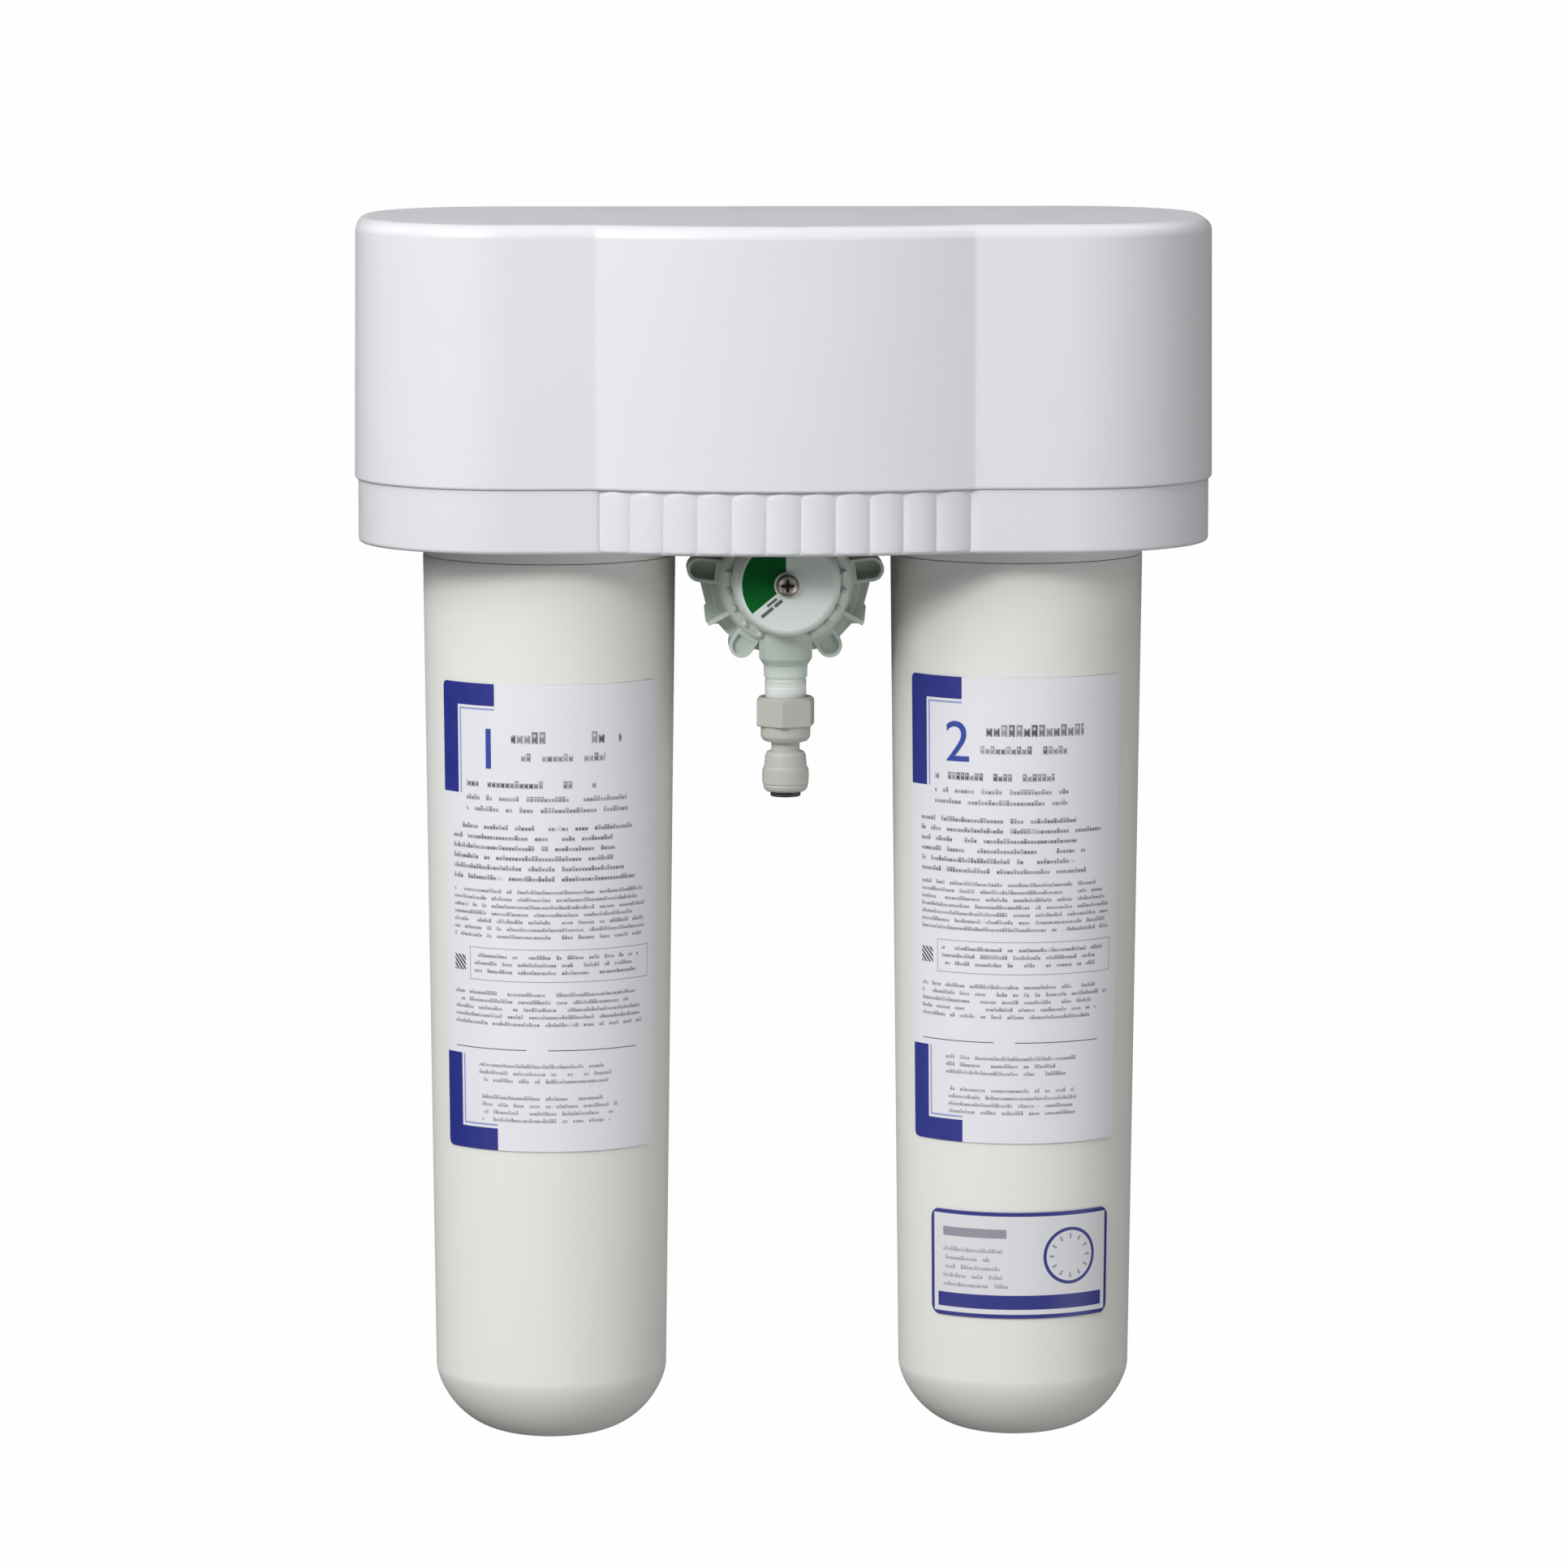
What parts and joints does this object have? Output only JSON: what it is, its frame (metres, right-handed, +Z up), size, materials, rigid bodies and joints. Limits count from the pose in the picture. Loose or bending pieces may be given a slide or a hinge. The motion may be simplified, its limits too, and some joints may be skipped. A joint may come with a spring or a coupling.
{
  "type": "under sink water filter",
  "caption": "Wall-hung under sink water filter: white hood over valved heads, two domed quarter-turn cartridges, a dial flow meter and push-fit ports.",
  "frame": {"origin": "centre of the wall bracket's back face, which lies against the wall", "axes": "+Y into the wall, so the front faces -Y; +X to the right seen from the front; +Z up"},
  "size_m": [0.2782, 0.1275, 0.4019],
  "materials": {
    "hood_white": "satin gloss moulded white ABS",
    "band_white": "satin moulded white ABS, fluted in its middle",
    "bracket_steel": "zinc-plated sheet",
    "zinc_steel": "zinc-plated screws",
    "dial_screw_steel": "dull brownish steel",
    "head_grey": "moulded glass-filled polypropylene",
    "rotor_acetal": "moulded acetal",
    "cartridge_ivory": "matte off-white polypropylene",
    "label_film": "semi-matte printed film in lilac white and blue",
    "sticker_film": "semi-matte printed film with a navy edge",
    "meter_green": "translucent pale green polypropylene",
    "dial_white": "satin white with a dark green sector",
    "gear_acetal": "natural acetal",
    "fitting_grey": "moulded warm grey acetal",
    "collet_dark": "dark grey acetal",
    "tube_white": "natural white polyethylene",
    "rubber_black": "nitrile",
    "carbon_black": "sintered activated carbon"
  },
  "bodies": {
    "root": {"wall_bracket": "bracket_steel", "base_housing": "band_white", "base_screw_left": "zinc_steel", "base_screw_right": "zinc_steel", "filter_head_1": "head_grey", "filter_head_2": "head_grey", "head_screw_1a": "zinc_steel", "head_screw_1b": "zinc_steel", "head_screw_2a": "zinc_steel", "head_screw_2b": "zinc_steel", "inlet_fitting": "fitting_grey", "inlet_nut": "fitting_grey", "inlet_o_ring": "rubber_black", "feed_tube": "tube_white", "crossover_tube": "tube_white", "outlet_tube": "tube_white", "meter_housing": "meter_green", "meter_back_plate": "meter_green", "meter_gasket": "rubber_black", "meter_screw_1": "zinc_steel", "meter_screw_2": "zinc_steel", "meter_screw_3": "zinc_steel", "meter_screw_4": "zinc_steel", "meter_screw_5": "zinc_steel", "meter_screw_6": "zinc_steel", "meter_tab_screw_left": "zinc_steel", "meter_tab_screw_right": "zinc_steel", "outlet_adapter": "fitting_grey", "outlet_o_ring": "rubber_black", "impeller_shaft": "zinc_steel"},
    "hood": {"top_cover": "hood_white"},
    "rotor_1": {"valve_rotor_1": "rotor_acetal"},
    "cartridge_1": {"cartridge_shell_1": "cartridge_ivory", "cartridge_cap_1": "cartridge_ivory", "neck_o_ring_upper_1": "rubber_black", "neck_o_ring_lower_1": "rubber_black", "carbon_block_1": "carbon_black", "core_tube_1": "tube_white", "block_top_cap_1": "rotor_acetal", "block_bottom_cap_1": "rotor_acetal", "label_1": "label_film"},
    "rotor_2": {"valve_rotor_2": "rotor_acetal"},
    "cartridge_2": {"cartridge_shell_2": "cartridge_ivory", "cartridge_cap_2": "cartridge_ivory", "neck_o_ring_upper_2": "rubber_black", "neck_o_ring_lower_2": "rubber_black", "carbon_block_2": "carbon_black", "core_tube_2": "tube_white", "block_top_cap_2": "rotor_acetal", "block_bottom_cap_2": "rotor_acetal", "label_2": "label_film", "sticker_2": "sticker_film"},
    "dial": {"meter_dial": "dial_white", "dial_screw": "dial_screw_steel", "dial_gear": "gear_acetal"},
    "pinion": {"drive_pinion": "gear_acetal"},
    "impeller": {"impeller": "gear_acetal"},
    "outlet_collet": {"outlet_collet": "collet_dark"},
    "inlet_collet": {"inlet_collet": "collet_dark"}
  },
  "joints": [
    {"name": "hood_lift", "type": "slide", "parent": "root", "child": "hood", "axis": [0, 0, 1], "range_m": [0, 0.11]},
    {"name": "cartridge_1_twist", "type": "hinge", "parent": "root", "child": "rotor_1", "pos_m": [-0.0762, -0.058, 0], "axis": [0, 0, -1], "range_deg": [0, 90]},
    {"name": "cartridge_1_drop", "type": "slide", "parent": "rotor_1", "child": "cartridge_1", "axis": [0, 0, -1], "range_m": [0, 0.0041]},
    {"name": "cartridge_2_twist", "type": "hinge", "parent": "root", "child": "rotor_2", "pos_m": [0.0762, -0.058, 0], "axis": [0, 0, -1], "range_deg": [0, 90]},
    {"name": "cartridge_2_drop", "type": "slide", "parent": "rotor_2", "child": "cartridge_2", "axis": [0, 0, -1], "range_m": [0, 0.0041]},
    {"name": "dial_turn", "type": "hinge", "parent": "root", "child": "dial", "pos_m": [0, -0.1, -0.064], "axis": [0, 1, 0], "range_deg": [0, 270]},
    {"name": "pinion_turn", "type": "hinge", "parent": "root", "child": "pinion", "pos_m": [0.00787, -0.0838, -0.05462], "axis": [0, 1, 0], "range_deg": [-640, 0]},
    {"name": "impeller_spin", "type": "hinge", "parent": "root", "child": "impeller", "pos_m": [-0.0085, -0.078, -0.0715], "axis": [0, 1, 0], "continuous": true},
    {"name": "outlet_collet_press", "type": "slide", "parent": "root", "child": "outlet_collet", "axis": [0, 0, 1], "range_m": [0, 0.0015]},
    {"name": "inlet_collet_press", "type": "slide", "parent": "root", "child": "inlet_collet", "axis": [0, 0, 1], "range_m": [0, 0.0015]}
  ],
  "couplings": [
    {"joint": "cartridge_1_drop", "follows": "cartridge_1_twist", "m_per_rad": 0.0025465},
    {"joint": "cartridge_2_drop", "follows": "cartridge_2_twist", "m_per_rad": 0.0025465},
    {"joint": "pinion_turn", "follows": "dial_turn", "ratio": -2.3333}
  ]
}
